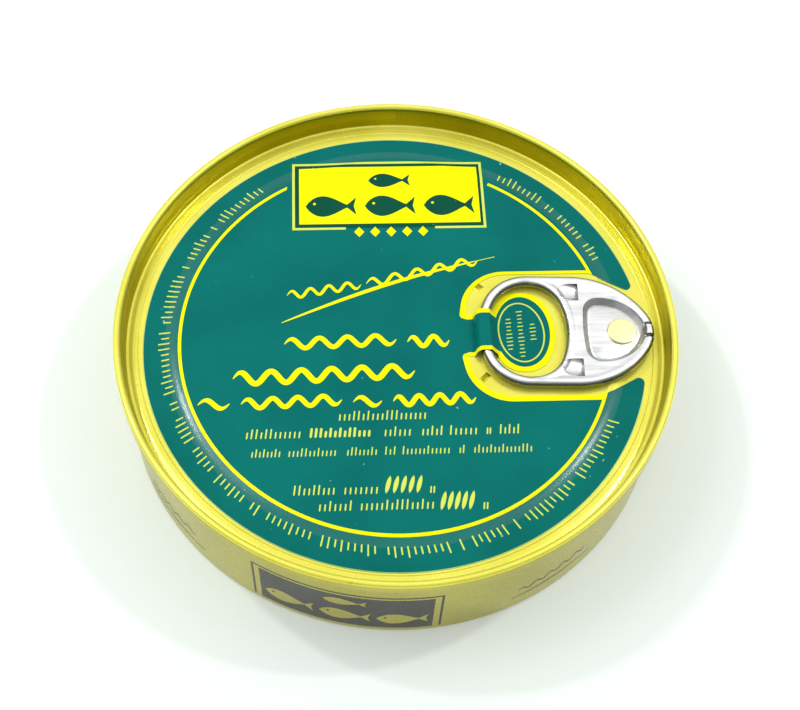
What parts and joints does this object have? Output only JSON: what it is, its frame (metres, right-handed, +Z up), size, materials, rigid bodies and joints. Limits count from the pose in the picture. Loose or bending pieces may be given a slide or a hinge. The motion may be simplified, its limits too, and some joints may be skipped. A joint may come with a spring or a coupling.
{
  "type": "round sardine tin",
  "caption": "Shallow round two-piece food tin, shut: rolled seam, sunken easy-open lid, ring-pull tab held by a rivet, and a printed film label.",
  "frame": {"origin": "on the ground under the middle of the tin", "axes": "+Z up along the tin's axis, +X from the middle through the rivet to the tab's nose, +Y to the back of the label's reading direction"},
  "size_m": [0.1, 0.1, 0.023],
  "materials": {
    "can_lacquer": "gold lacquer over tinplate, satin, with dark side print",
    "lid_lacquer": "clear gold lacquer, bright satin",
    "tab_aluminium": "bare stamped aluminium, finely brushed",
    "label_film": "glossy printed plastic film, teal with yellow print"
  },
  "bodies": {
    "root": {"can_body": "can_lacquer", "lid": "lid_lacquer", "pull_tab": "tab_aluminium", "label": "label_film"}
  },
  "joints": []
}
